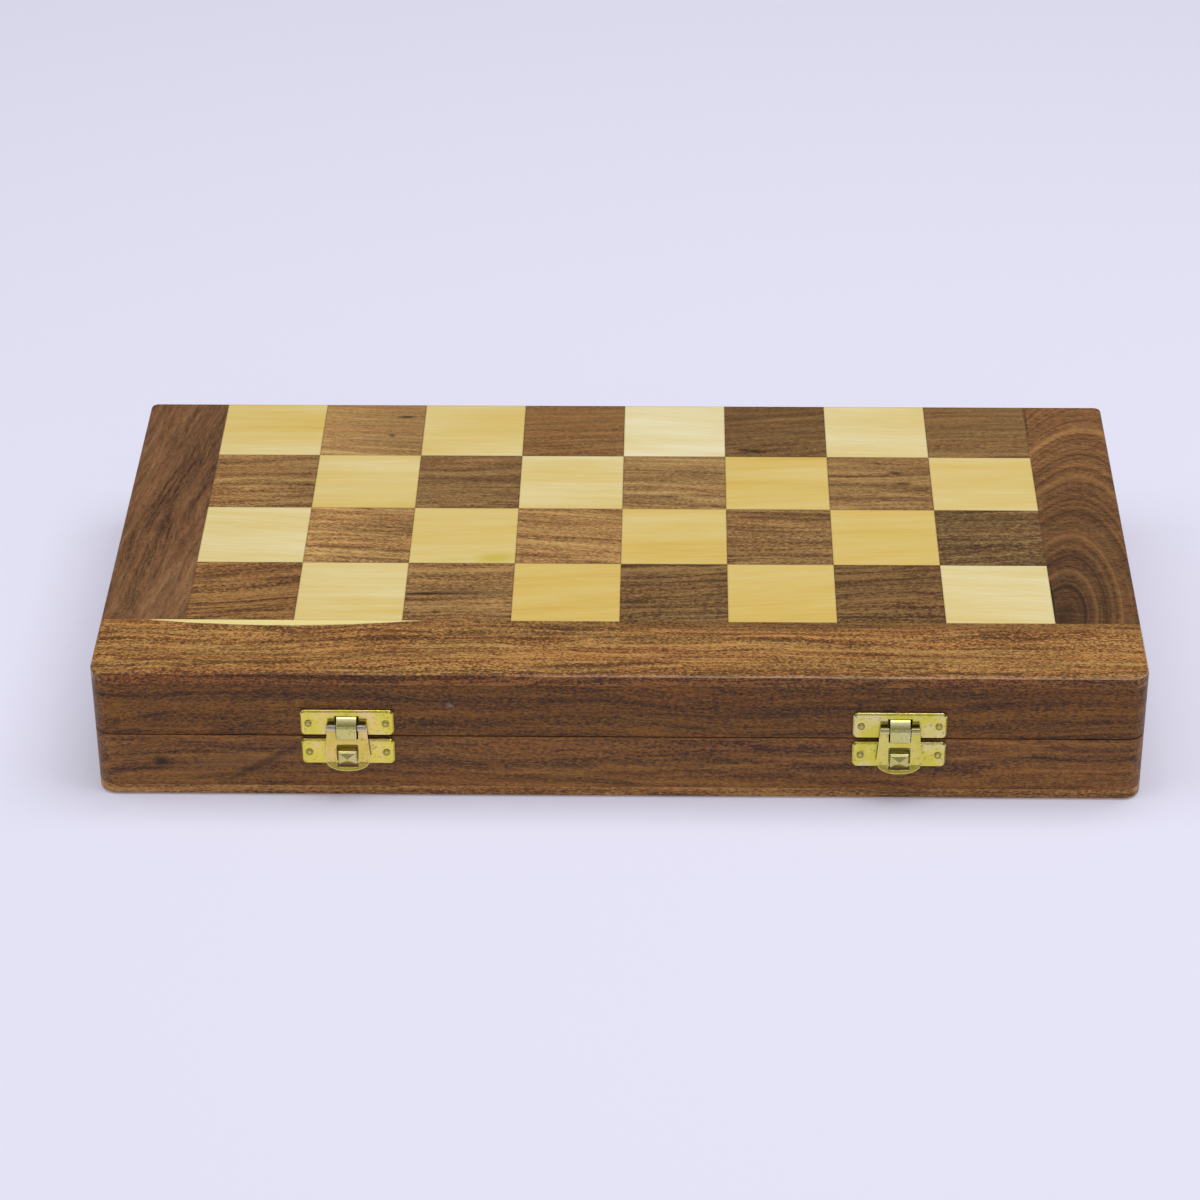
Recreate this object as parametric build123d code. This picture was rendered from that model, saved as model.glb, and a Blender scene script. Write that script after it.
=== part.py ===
"""Folding chess box: two shallow wooden trays hinged along the back, each with half of a chessboard
inlaid in its outer face, closed at the front by two stamped brass swing latches.

Millimetres, +Z up.  The origin is the bottom centre of the wooden case, X runs along the width,
-Y is the front with the latches and +Y the back with the hinges.  The case is modelled closed,
so the base lies on its own half of the board and the lid shows the other half on top.
"""
from build123d import *
import math
import os

# ------------------------------------------------------------------ the board and the case
square = 32.0                   # side of one square of the board
columns = 8                     # squares along the width
rows = 4                        # squares from front to back in each half
side_border = 25.0              # wooden border left and right of the squares
front_border = 29.0             # wooden border in front of the squares, none at the hinge side
board_thickness = 3.5           # squares and borders
half_height = 21.1              # one tray, from its playing face to its rim
seam_gap = 0.3                  # open line between the two rims
front_corner_radius = 5.5
rear_corner_radius = 2.5
arris_radius = 0.9              # rounded edge round the playing face, front and sides
rim_ease = 0.15                 # small bevel on the outer edge of the rim

wall = 10.0                     # rails that make the sides of a tray
backing_thickness = 3.0         # plywood that carries the squares
rebate_depth = 4.0              # how far the plywood is let into the rails
panel_clearance = 0.1           # play of the plywood in its rebate
lining_thickness = 1.0          # felt
lining_setback = 0.6            # felt on the walls stops this far under the rim

# ------------------------------------------------------------------ the hinges
hinge_inset = 52.0              # from the end of the case to the middle of a hinge
hinge_length = 25.0
leaf_width = 8.0                # from the back face into the rim
leaf_thickness = 0.8
knuckle_count = 3               # two on the base leaf, one on the lid leaf
knuckle_radius = 1.6
knuckle_gap = 0.15              # between neighbouring knuckles, and knuckle to the other leaf
axis_setout = 0.25              # hinge axis behind the back face, so the case opens flat
recess_clearance = 0.35         # round the knuckles
mortise_clearance = 0.1         # at the ends of a leaf
hinge_pin_radius = 0.75
pin_clearance = 0.05            # running fit in the knuckles
pin_overhang = 0.4
screw_head_radius = 1.6
screw_neck_radius = 0.8         # under the head
screw_core_radius = 0.7         # of the shank, threads left out
screw_length = 8.0
screw_spacing = 15.0
screw_clearance = 0.05
shank_sides = 8                 # of the screw shanks, out of sight in the wood

# ------------------------------------------------------------------ the latches
latch_spacing = 160.4           # from one latch to the other
latch_shift = 1.4               # the pair is nailed on a little right of the middle
plate_width = 27.3
plate_height = 8.7
plate_corner = 1.5
plate_proud = 1.1               # face of a plate in front of the wood
plate_sheet = 0.6
plate_rim = 0.8                 # solid edge round the hollow back
plate_bevel = 0.55
lever_plate_rise = 0.6          # lower edge of the upper plate over the middle of the seam
catch_plate_drop = 0.7          # upper edge of the lower plate under the middle of the seam
notch_width = 7.0               # opening in the upper plate round its tongue
bridge_height = 1.8             # strip left over the notch, where the tongue starts
tongue_width = 5.8
tongue_bottom = 0.8             # lower end of the tongue over the seam
tongue_hook = 0.45              # how far its end turns back
tongue_bend_radius = 0.6
tongue_corner = 1.0             # at its lower end
tongue_clearance = 0.1          # tongue to axle
axle_radius = 0.7
axle_height = 4.4               # over the seam
axle_clearance = 0.05           # running fit in the rolled ears
ear_clearance = 0.15            # rolled ears to the plate behind them
lever_sheet = 0.5
ear_half_span = 5.7             # outer ends of the two ears
lever_bottom_half_span = 6.7    # the lever widens downwards
lever_window_clearance = 0.35   # lever to tongue, each side
ear_roll_angle = 200.0          # degrees of the sheet round the axle, from behind over the top
lever_stand_off = 1.45          # back of the lever in front of the plates, at its lower end
arm_bend_radius = 0.9
arm_bend_height = 3.3           # under it the arms lean out, straight down to the crease of the lip
bar_top = 0.2                   # cross bar between the two windows
bar_bottom = -1.6
lip_crease = -7.1
lip_bottom = -9.9
lip_flare = 0.9
lip_half_width = 6.25
window_corner = 0.5
nose_width = 5.5
nose_top = -3.2
nose_height = 4.8
nose_ledge_proud = 2.1          # front edge of the flat ledge, in front of the lower plate
nose_crest_proud = 2.75         # upper edge of the V-shaped facet
nose_crest_drop = 0.7           # under the ledge
nose_crest_inset = 0.4          # from the sides of the nose
nose_point_proud = 3.25         # point of the V, the most proud of all
nose_point_drop = 2.5
nose_bottom_proud = 1.9
nose_gap = 0.7                  # nose to the lower edge of the window
nose_side_gap = 0.4             # nose to the sides of the window
nail_spacing = 22.5
nail_head_radius = 1.0
nail_head_height = 0.35
nail_shank_width = 1.0          # square-drawn wire
nail_length = 8.0
nail_point = 1.2
nail_clearance = 0.05

# ------------------------------------------------------------------ worked out from the above
case_width = columns * square + 2 * side_border
case_depth = rows * square + front_border
case_height = 2 * half_height + seam_gap
seam_z = case_height / 2
right, back = case_width / 2, case_depth / 2
left, front = -right, -back
hinge_axis_y = back + axis_setout
flange_end_y = hinge_axis_y - knuckle_radius - knuckle_gap
hinge_x = right - hinge_inset
latch_xs = {"left": latch_shift - latch_spacing / 2, "right": latch_shift + latch_spacing / 2}
hinge_xs = {"left": -hinge_x, "right": hinge_x}
lever_plate_top = lever_plate_rise + plate_height
ear_inner_radius = axle_radius + axle_clearance
ear_middle_radius = ear_inner_radius + lever_sheet / 2
axle_out = plate_proud + ear_clearance + ear_inner_radius + lever_sheet
slide = 10 * case_height        # longer than anything it has to cut

seam_mirror = Plane(origin=(0, 0, seam_z), z_dir=(0, 0, 1))
SIDE = Plane(origin=(0, 0, 0), x_dir=(0, -1, 0), z_dir=(-1, 0, 0))     # (out of the front, up)
FRONT = Plane.XZ                                                       # (along the width, up)


def span(x0, x1, y0, y1, z0, z1):
    """A block between two corners."""
    return Pos((x0 + x1) / 2, (y0 + y1) / 2, (z0 + z1) / 2) * Box(x1 - x0, y1 - y0, z1 - z0)


def rod(radius, x0, x1, y, z):
    """A round bar along X."""
    return Pos((x0 + x1) / 2, y, z) * Rot(0, 90, 0) * Cylinder(radius, x1 - x0)


def write(name, *solids):
    """One STEP file per sub-part; a group of loose solids goes in one compound."""
    shape = solids[0] if len(solids) == 1 else Compound(children=list(solids))
    shape.label = name
    export_step(shape, f"parts/{name}.step")


# ------------------------------------------------------------------ woodwork of one tray

def plan(rear, rear_radius):
    """Plan outline of the case up to a given rear edge."""
    corners = [(left, front), (right, front), (right, rear), (left, rear)]
    face = make_face(Polyline(*corners, close=True))
    at_front = face.vertices().filter_by(lambda v: v.Y < 0)
    face = fillet(at_front, front_corner_radius)
    if rear_radius:
        at_rear = face.vertices().filter_by(lambda v: abs(v.Y - rear) < 1e-6)
        face = fillet(at_rear, rear_radius)
    return face


def half_form():
    """Outer form of one tray.  The rounded arris runs off the back without turning the corner, so
    it is worked on a longer block, which is then cut to the outline."""
    block = extrude(plan(back + wall, 0), half_height)
    block = fillet(block.faces().sort_by(Axis.Z)[0].edges(), arris_radius)
    block = chamfer(block.faces().sort_by(Axis.Z)[-1].edges(), rim_ease)
    return block & extrude(plan(back, rear_corner_radius), half_height)


def rails(form):
    """Four rails: front and rear run through, the side rails butt between them."""
    inside = span(left + wall, right - wall, front + wall, back - wall, 0, half_height)
    rebate_edge = wall - rebate_depth
    rebate = span(left + rebate_edge, right - rebate_edge, front + rebate_edge, back - rebate_edge,
                  board_thickness, board_thickness + backing_thickness)
    frame = form - inside - rebate
    low, high = board_thickness, half_height
    cuts = {
        "front_rail": span(left, right, front, front + wall, low, high),
        "rear_rail": span(left, right, back - wall, back, low, high),
        "left_rail": span(left, left + wall, front + wall, back - wall, low, high),
        "right_rail": span(right - wall, right, front + wall, back - wall, low, high),
    }
    return {name: (frame & cut) for name, cut in cuts.items()}


def borders(form):
    """Three strips round the squares; the front one runs through and the others butt against it."""
    top = board_thickness
    squares_front = front + front_border
    return {
        "front_border": form & span(left, right, front, squares_front, 0, top),
        "left_border": form & span(left, left + side_border, squares_front, back, 0, top),
        "right_border": form & span(right - side_border, right, squares_front, back, 0, top),
    }


def squares(parity):
    """Every second square of one half, counted from the hinge side and from the left."""
    tiles = []
    for row in range(rows):
        for column in range(columns):
            if (row + column) % 2 == parity:
                x = left + side_border + (column + 0.5) * square
                y = back - (row + 0.5) * square
                tiles.append(Pos(x, y, board_thickness / 2) * Box(square, square, board_thickness))
    return tiles


def backing_panel():
    """Plywood panel in the rebate of the rails."""
    edge = wall - rebate_depth + panel_clearance
    return span(left + edge, right - edge, front + edge, back - edge,
                board_thickness, board_thickness + backing_thickness)


def floor_lining():
    low = board_thickness + backing_thickness
    return span(left + wall, right - wall, front + wall, back - wall, low, low + lining_thickness)


def wall_linings():
    """Felt strips on the four walls, standing on the floor lining."""
    low = board_thickness + backing_thickness + lining_thickness
    high = half_height - lining_setback
    x0, x1, y0, y1 = left + wall, right - wall, front + wall, back - wall
    t = lining_thickness
    return [
        span(x0, x1, y0, y0 + t, low, high),
        span(x0, x1, y1 - t, y1, low, high),
        span(x0, x0 + t, y0 + t, y1 - t, low, high),
        span(x1 - t, x1, y0 + t, y1 - t, low, high),
    ]


# ------------------------------------------------------------------ hinges, drawn for the base

def screw_places(x):
    y = (back - leaf_width + flange_end_y) / 2
    return [Pos(x + side * screw_spacing / 2, y, half_height) for side in (-1, 1)]


def countersunk(extra, length):
    """Countersunk screw form hanging from its head, grown by a clearance for its hole."""
    head = Pos(0, 0, -leaf_thickness / 2) * Cone(
        screw_neck_radius + extra, screw_head_radius + extra, leaf_thickness)
    return head + extrude(RegularPolygon(screw_core_radius + extra, shank_sides), -length)


def hinge_leaf(x, knuckles):
    """One leaf let into the rim: a flat flange, its share of the rolled knuckles, screw holes."""
    pitch = hinge_length / knuckle_count
    end = x - hinge_length / 2
    low, high = half_height - leaf_thickness, half_height
    leaf = span(end, end + hinge_length, back - leaf_width, flange_end_y, low, high)
    for index in knuckles:
        x0 = end + index * pitch + (knuckle_gap / 2 if index > 0 else 0)
        x1 = end + (index + 1) * pitch - (knuckle_gap / 2 if index < knuckle_count - 1 else 0)
        leaf += span(x0, x1, flange_end_y, hinge_axis_y, low, high)
        leaf += rod(knuckle_radius, x0, x1, hinge_axis_y, seam_z)
    bore = hinge_pin_radius + pin_clearance
    leaf -= rod(bore, end, end + hinge_length, hinge_axis_y, seam_z)
    for place in screw_places(x):
        leaf -= place * countersunk(screw_clearance, screw_length)
    return leaf


def hinge_pin(x):
    half = hinge_length / 2 + pin_overhang
    return rod(hinge_pin_radius, x - half, x + half, hinge_axis_y, seam_z)


def hinge_cuts():
    """What the rear rail loses to both hinges: mortise, round recess and screw holes."""
    cuts = []
    for x in hinge_xs.values():
        half = hinge_length / 2 + mortise_clearance
        cuts.append(span(x - half, x + half, back - leaf_width, back, half_height - leaf_thickness,
                         half_height))
        half = hinge_length / 2 + pin_overhang + recess_clearance
        cuts.append(rod(knuckle_radius + recess_clearance, x - half, x + half, hinge_axis_y, seam_z))
        for place in screw_places(x):
            cuts.append(place * countersunk(screw_clearance, screw_length + screw_clearance))
    return cuts


# ------------------------------------------------------------------ latches, drawn round their own
# origin: middle of the latch, front face of the wood, middle of the seam

def nail_xs():
    return [side * nail_spacing / 2 for side in (-1, 1)]


def nail_shank(width, length):
    """Square shank that starts at the plate and runs into the wood, with a diamond point."""
    half, shoulder = width / 2, length - nail_point
    corners = [(x, y, z) for x in (-half, half) for y in (0, shoulder) for z in (-half, half)]
    return ConvexPolyhedron(corners + [(0, length, 0)])


def nail():
    """Nail with a low round head."""
    head = Rot(90, 0, 0) * Pos(0, 0, nail_head_height / 2) * Cylinder(
        nail_head_radius, nail_head_height)
    return head + nail_shank(nail_shank_width, nail_length)


def nail_hole():
    return nail_shank(nail_shank_width + 2 * nail_clearance, nail_length + nail_clearance)


def plate_pan(low):
    """Plate pressed to a shallow pan: rounded corners, bevelled edge, hollow back, nail holes."""
    middle = low + plate_height / 2
    sheet = RectangleRounded(plate_width, plate_height, plate_corner)
    pan = extrude(FRONT * Pos(0, middle) * sheet, plate_proud)
    pan = chamfer(pan.faces().sort_by(Axis.Y)[0].edges(), plate_bevel)
    hollow = Rectangle(plate_width - 2 * plate_rim, plate_height - 2 * plate_rim)
    pan -= extrude(FRONT * Pos(0, middle) * hollow, plate_proud - plate_sheet)
    for x in nail_xs():
        pan -= Pos(x, -plate_proud, middle) * nail_hole()
    return pan


def bent_sheet(path, thickness, width):
    """Strip of sheet metal that follows a path seen from the side."""
    profile = trace(path, thickness)
    return extrude(SIDE * profile, width / 2, both=True)


def lever_plate():
    """Upper plate with its tongue: the tongue leans out to the tangent of the axle, drops straight
    in front of it and hooks back."""
    pan = plate_pan(lever_plate_rise)
    notch_top = lever_plate_top - bridge_height
    pan -= span(-notch_width / 2, notch_width / 2, -slide, slide, lever_plate_rise - slide, notch_top)
    sheet_out = plate_proud - plate_sheet / 2
    clear = axle_radius + tongue_clearance + plate_sheet / 2
    run, drop = axle_out - sheet_out, notch_top - axle_height
    lean = math.atan2(drop, run) - math.asin(clear / math.hypot(run, drop))
    tongue_out = axle_out + clear
    crease = notch_top - (tongue_out - sheet_out) * math.tan(lean)
    path = FilletPolyline(
        (sheet_out, notch_top + bridge_height / 2), (sheet_out, notch_top), (tongue_out, crease),
        (tongue_out, tongue_bottom + tongue_hook), (tongue_out - tongue_hook, tongue_bottom),
        radius=tongue_bend_radius)
    tall = 2 * (lever_plate_top - tongue_bottom)
    outline = Pos(0, tongue_bottom + tall / 2) * RectangleRounded(tongue_width, tall, tongue_corner)
    return pan + (bent_sheet(path, plate_sheet, tongue_width) & extrude(FRONT * outline, slide))


def lever_axle():
    return rod(axle_radius, -ear_half_span, ear_half_span, -axle_out, axle_height)


def latch_lever():
    """Swing lever: two arms with ears rolled over the axle, a cross bar, a window for the nose and
    a flared finger lip."""
    back_out = axle_out - ear_middle_radius
    low_out = plate_proud + lever_stand_off + lever_sheet / 2
    roll = CenterArc((axle_out, axle_height), ear_middle_radius, 180 - ear_roll_angle, ear_roll_angle)
    arms = FilletPolyline(
        (back_out, axle_height), (back_out, arm_bend_height), (low_out, lip_crease),
        (low_out + lip_flare, lip_bottom), radius=arm_bend_radius)
    sheet = bent_sheet(roll + arms, lever_sheet, 2 * lever_bottom_half_span)

    top = axle_height + 2 * ear_middle_radius
    arms_outline = make_face(Polyline(
        (-ear_half_span, top), (-ear_half_span, axle_height), (-lever_bottom_half_span, lip_crease),
        (lever_bottom_half_span, lip_crease), (ear_half_span, axle_height), (ear_half_span, top),
        close=True))
    lip = Pos(0, lip_crease) * Ellipse(lip_half_width, lip_crease - lip_bottom)
    opening_height = 2 * (top - bar_top)
    opening = Pos(0, bar_top + opening_height / 2) * Rectangle(
        tongue_width + 2 * lever_window_clearance, opening_height)
    window_bottom = nose_top - nose_height - nose_gap
    window = Pos(0, (bar_bottom + window_bottom) / 2) * RectangleRounded(
        nose_width + 2 * nose_side_gap, bar_bottom - window_bottom, window_corner)
    outline = (arms_outline + lip) - opening - window
    return sheet & extrude(FRONT * outline, slide)


def catch_plate():
    """Lower plate with the stamped nose: a flat ledge on top, a bevel, and a front that falls away
    from the point of a V-shaped facet."""
    low = -catch_plate_drop - plate_height
    half, root = nose_width / 2, -(plate_proud - plate_sheet)
    crest, bottom = half - nose_crest_inset, nose_top - nose_height
    points = [(x, root, z) for x in (-half, half) for z in (nose_top, bottom)]
    points += [(x, -plate_proud - nose_ledge_proud, nose_top) for x in (-half, half)]
    points += [(x, -plate_proud - nose_crest_proud, nose_top - nose_crest_drop)
               for x in (-crest, crest)]
    points += [(0, -plate_proud - nose_point_proud, nose_top - nose_point_drop)]
    points += [(x, -plate_proud - nose_bottom_proud, bottom) for x in (-half, half)]
    return plate_pan(low) + ConvexPolyhedron(points)


# ------------------------------------------------------------------ the assembly

def on_front(x, solid):
    """Put a latch piece on the front of the case."""
    return Pos(x, front, seam_z) * solid


def front_rail_with_holes(rail, below_seam):
    """Front rail with the pilot holes for the nails of its two plates."""
    for latch_x in latch_xs.values():
        for x in nail_xs():
            rail -= on_front(latch_x, Pos(x, -plate_proud, -below_seam) * nail_hole())
    return rail


def tray(half, light_parity, nails_below_seam, place):
    """All the woodwork and felt of one tray, drawn as the base and put in its place."""
    form = half_form()
    wood = rails(form)
    wood["front_rail"] = front_rail_with_holes(wood["front_rail"], nails_below_seam)
    for cut in hinge_cuts():
        wood["rear_rail"] -= cut
    wood.update(borders(form))
    wood["backing_panel"] = backing_panel()
    wood["floor_lining"] = floor_lining()
    for name, solid in wood.items():
        write(f"{half}_{name}", place(solid))
    write(f"{half}_light_squares", *[place(tile) for tile in squares(light_parity)])
    write(f"{half}_dark_squares", *[place(tile) for tile in squares(1 - light_parity)])
    write(f"{half}_wall_lining", *[place(strip) for strip in wall_linings()])


def upright(solid):
    return solid


def flipped(solid):
    """The lid is the base turned over the seam."""
    return mirror(solid, about=seam_mirror)


os.makedirs("parts", exist_ok=True)

catch_nails_below = catch_plate_drop + plate_height / 2
lever_nails_above = lever_plate_rise + plate_height / 2
tray("base", 1, catch_nails_below, upright)
tray("lid", 0, lever_nails_above, flipped)

base_knuckles = range(0, knuckle_count, 2)
lid_knuckles = range(1, knuckle_count, 2)
for side, x in hinge_xs.items():
    write(f"{side}_hinge_base_leaf", hinge_leaf(x, base_knuckles))
    write(f"{side}_hinge_lid_leaf", flipped(hinge_leaf(x, lid_knuckles)))
    write(f"{side}_hinge_pin", hinge_pin(x))
hinge_screws = [place * countersunk(0, screw_length)
                for x in hinge_xs.values() for place in screw_places(x)]
write("base_hinge_screws", *hinge_screws)
write("lid_hinge_screws", *[flipped(screw) for screw in hinge_screws])

for side, x in latch_xs.items():
    write(f"{side}_lever_plate", on_front(x, lever_plate()))
    write(f"{side}_lever_axle", on_front(x, lever_axle()))
    write(f"{side}_latch_lever", on_front(x, latch_lever()))
    write(f"{side}_catch_plate", on_front(x, catch_plate()))
for name, height in (("base_catch_nails", -catch_nails_below), ("lid_plate_nails", lever_nails_above)):
    places = [Pos(nail_x, -plate_proud, height) for nail_x in nail_xs()]
    write(name, *[on_front(x, place * nail()) for x in latch_xs.values() for place in places])
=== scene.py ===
# %% [markdown]
# # A folding chess box
#
# Two shallow wooden trays are hinged along the back. Each carries half of a chessboard in its outer face,
# and two stamped brass latches hold them shut at the front. The solid model already has every rail, square,
# leaf and latch at its true size, so this lesson dresses it: wood that looks sawn and lacquered, brass that
# looks pressed and handled, and real sheets of felt. The solid model is loaded first and stays fixed.

# %% Load the solid model
import math
import bpy
from mathutils import Matrix, Vector


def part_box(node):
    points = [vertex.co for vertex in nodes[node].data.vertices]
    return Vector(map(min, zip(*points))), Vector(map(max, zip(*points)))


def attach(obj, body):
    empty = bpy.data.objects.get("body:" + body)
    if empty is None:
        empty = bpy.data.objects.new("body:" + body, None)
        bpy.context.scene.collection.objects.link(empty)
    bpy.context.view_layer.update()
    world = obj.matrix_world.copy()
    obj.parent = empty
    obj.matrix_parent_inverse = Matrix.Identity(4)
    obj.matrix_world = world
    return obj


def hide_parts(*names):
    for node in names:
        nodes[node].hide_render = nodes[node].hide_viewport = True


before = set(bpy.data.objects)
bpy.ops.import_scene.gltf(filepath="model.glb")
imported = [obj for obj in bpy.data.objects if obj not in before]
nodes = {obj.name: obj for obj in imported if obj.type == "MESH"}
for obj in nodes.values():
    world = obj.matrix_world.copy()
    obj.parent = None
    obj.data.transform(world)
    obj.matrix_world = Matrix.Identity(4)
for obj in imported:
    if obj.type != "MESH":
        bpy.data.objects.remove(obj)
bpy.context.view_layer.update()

MM = 0.001

# %% [markdown]
# ## Colours and nodes
#
# A finish is a small network of nodes. One function adds a node with its settings and links, so each line of
# a finish reads as one step: what goes in, what is done with it, and what comes out. Colours are written as
# sRGB hex codes, as a paint chart gives them, and turned to the linear light that a shader reckons in.

# %% Helpers for colours and for nodes
def linear(code, strength=1.0):
    """An sRGB hex code as the linear colour that a shader socket takes."""
    parts = [int(code[i:i + 2], 16) / 255 for i in (1, 3, 5)]
    toned = [c / 12.92 if c <= 0.04045 else ((c + 0.055) / 1.055) ** 2.4 for c in parts]
    return [c * strength for c in toned] + [1.0]


def feed(tree, node, inputs):
    """Fills inputs, by socket name or number: a plain value, a socket, or a node for its first output."""
    for key, value in inputs.items():
        if isinstance(value, bpy.types.Node):
            value = value.outputs[0]
        if isinstance(value, bpy.types.NodeSocket):
            tree.links.new(value, node.inputs[key])
        else:
            node.inputs[key].default_value = value


def add(tree, kind, inputs=None, ramp=None, **settings):
    """Adds one node. A ramp is given as its positions and its hex codes."""
    node = tree.nodes.new("ShaderNode" + kind)
    for name, value in settings.items():
        setattr(node, name, value)
    feed(tree, node, inputs or {})
    if ramp:
        places, codes = ramp
        stops = node.color_ramp.elements
        while len(stops) < len(places):
            stops.new(0.5)
        for stop, place, code in zip(stops, places, codes):
            stop.position = place
            stop.color = linear(code)
    return node


def new_material(name):
    """An empty material with its output and a principled shader, ready for a finish."""
    material = bpy.data.materials.new(name)
    material.use_nodes = True
    tree = material.node_tree
    tree.nodes.clear()
    output = tree.nodes.new("ShaderNodeOutputMaterial")
    shader = tree.nodes.new("ShaderNodeBsdfPrincipled")
    tree.links.new(shader.outputs[0], output.inputs["Surface"])
    return material, tree, shader


def dress(material, *names):
    """Gives a material to pieces of the solid model, by name."""
    for name in names:
        nodes[name].data.materials.clear()
        nodes[name].data.materials.append(material)
    print(f"{material.name}: {len(material.node_tree.nodes)} shader nodes on {len(names)} pieces")


# %% [markdown]
# ## The floor and the light
#
# The box stands on a plain pale surface, which only has to catch a faint shadow. A small product is usually
# lit from above by a large softbox, and the pale floor throws a softer light back up at the front. The walls
# of the room are the world colour, kept low: a bright room would lay a white veil over dark lacquered wood.
# A narrow strip above the camera gives the bent brass its highlight.

# %% Floor
# Painted board, rolled on matt. It scatters light evenly, so the eye reads it as plain. It is also lit a
# little from inside, like a light table, so that no dark shadow hides the foot of the box. It lies a hair
# under the box, because two faces in one plane would fight for the same points.
pale_lilac = "#E6E5F7"
floor_side = 14
hair = 0.2 * MM
bpy.ops.object.select_all(action="DESELECT")
bpy.ops.mesh.primitive_plane_add(size=floor_side, location=(0, 0, -hair))
floor = bpy.context.object
floor.name = "floor"
painted_board, tree, shader = new_material("painted_board_matt")
feed(tree, shader, {"Base Color": linear(pale_lilac, 0.75), "Emission Color": linear(pale_lilac),
                    "Emission Strength": 0.22, "Roughness": 0.75, "Specular IOR Level": 0.2})
floor.data.materials.append(painted_board)
print(f"floor: {floor_side} m wide, {hair / MM} mm under the box")

# %% Room and softboxes
world = bpy.data.worlds.new("pale_walls")
bpy.context.scene.world = world
world.use_nodes = True
feed(world.node_tree, world.node_tree.nodes["Background"], {"Color": linear("#F3F4FF"), "Strength": 0.16})

# Place in metres, width and height in metres, power in watts. All of them look at the middle of the box.
studio = {"softbox_overhead": ((0.36, 0.0, 1.5), (1.05, 1.3), 18),
          "softbox_left": ((-1.2, -0.2, 1.8), (1.5, 1.8), 15),
          "softbox_low_front": ((0.1, -2.0, 0.9), (2.4, 0.5), 2.5),
          "strip_above_camera": ((0.1, -1.32, 1.5), (1.6, 0.14), 1.5)}
under_the_box = Vector((0, 0, 0))
for name, (place, size, power) in studio.items():
    lamp = bpy.data.lights.new(name, "AREA")
    lamp.shape = "RECTANGLE"
    lamp.size, lamp.size_y = size
    lamp.energy = power
    holder = bpy.data.objects.new(name, lamp)
    bpy.context.scene.collection.objects.link(holder)
    holder.location = place
    holder.rotation_mode = "QUATERNION"
    holder.rotation_quaternion = (under_the_box - Vector(place)).to_track_quat("-Z", "Y")
    print(f"{name}: {size[0]} x {size[1]} m, {power} W, {Vector(place).length:.2f} m away")

# %% Camera
# A long lens from well above shows the whole board with little perspective.
lens_mm, sensor_mm = 113.243, 36
turned, looks_down, rolled = 1.2563, 32.569, -0.3906
aim = Vector((-6.679, -4.513, 21.25)) * MM
away = 1.1599
camera = bpy.data.cameras.new("camera")
camera.lens, camera.sensor_width = lens_mm, sensor_mm
camera.clip_start, camera.clip_end = 0.05, 50
holder = bpy.data.objects.new("camera", camera)
bpy.context.scene.collection.objects.link(holder)
looking = Matrix.Rotation(math.radians(turned), 3, "Z")
looking = looking @ Matrix.Rotation(math.radians(90 - looks_down), 3, "X")
looking = looking @ Matrix.Rotation(math.radians(rolled), 3, "Z")
holder.matrix_world = Matrix.Translation(aim + looking @ Vector((0, 0, away))) @ looking.to_4x4()
bpy.context.scene.camera = holder
bpy.context.scene.view_settings.view_transform = "Standard"
print("camera, mm:", [round(v / MM, 1) for v in holder.matrix_world.translation])

# %% [markdown]
# ## Where a point lies in the wood
#
# Wood is worked out for each point of the solid and not painted on its faces, so the figure turns the corner
# from a face to the end grain as it does in a real board. Object coordinates give the point in metres, and
# grain is easier to think of in millimetres, so every finish starts by scaling them up. Every noise scale
# below is then in cells per millimetre: 0.5 stands for a cell 2 mm across.

# %% Millimetres, and the size of a square
board_low, board_high = [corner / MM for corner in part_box("lid_dark_squares")]
squares_along = 8
square = (board_high.x - board_low.x) / squares_along
print("one square, mm:", round(square, 2))


def in_millimetres(tree):
    place = add(tree, "TexCoord").outputs["Object"]
    return add(tree, "Mapping", {"Vector": place, "Scale": (1 / MM, 1 / MM, 1 / MM)})


def folded(tree, distance, folds):
    """Folds a line over at each distance in turn, so that one mark is drawn at all its mirror places."""
    for fold in folds:
        distance = add(tree, "Math", {0: distance, 1: fold}, operation="SUBTRACT")
        distance = add(tree, "Math", {0: distance}, operation="ABSOLUTE")
    return distance


# %% [markdown]
# ### Squares
#
# Every square is its own little board, cut anywhere in the log. The lowest corner of the board and the size
# of a square give each square a whole number, and white noise turns that number into chances of its own.
# They say where in the log it was cut, how far its grain is turned and, later, how dark it is. The joint
# round it is a thin dark line of glue. On a real board it is a tenth of a millimetre wide, which would not
# show, so it is drawn a few times as wide and fades out on both sides.

# %% Squares
far_apart = (900, 400, 60)
most_turned = 0.12
glue_from, glue_full = 0.35, 0.1


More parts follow.
